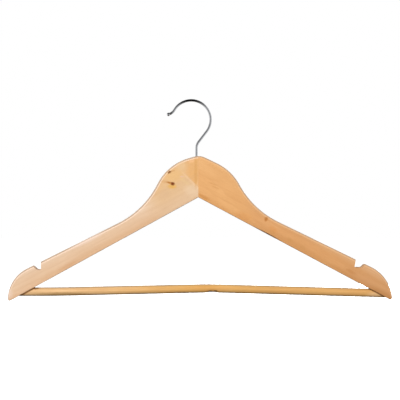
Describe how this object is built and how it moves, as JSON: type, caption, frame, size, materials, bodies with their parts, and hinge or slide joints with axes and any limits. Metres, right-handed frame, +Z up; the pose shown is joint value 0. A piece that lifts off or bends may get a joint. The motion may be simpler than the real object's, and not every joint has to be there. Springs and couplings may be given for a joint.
{
  "type": "clothes hanger",
  "caption": "Flat wooden clothes hanger with a swivelling wire hook, a round trouser bar and a strap notch in each shoulder.",
  "frame": {"origin": "the rail saddle: the point at the inside top of the hook that rests on the rail, in the middle of the hanger's thickness", "axes": "+X to the right along the hanger's length, +Y to the back, through its thickness, +Z up; the front faces -Y and the hook opens to the left"},
  "size_m": [0.4446, 0.012, 0.2332],
  "materials": {
    "hook_chrome": "bright nickel-chrome plating on round wire",
    "pale_wood": "clear satin lacquer on pale lotus wood",
    "honey_wood": "clear satin lacquer on warmer, honey-coloured wood",
    "bar_wood": "clear satin lacquer on a turned dowel",
    "brad_steel": "plain bright wire nail"
  },
  "bodies": {
    "hook": {"hook": "hook_chrome"},
    "body": {"left_arm": "pale_wood", "right_arm": "honey_wood", "trouser_bar": "bar_wood", "left_brad": "brad_steel", "right_brad": "brad_steel"}
  },
  "joints": [
    {"name": "hook_swivel", "type": "hinge", "parent": "hook", "child": "body", "pos_m": [0.0061, 0, -0.0633], "axis": [0, 0, 1], "continuous": true}
  ]
}
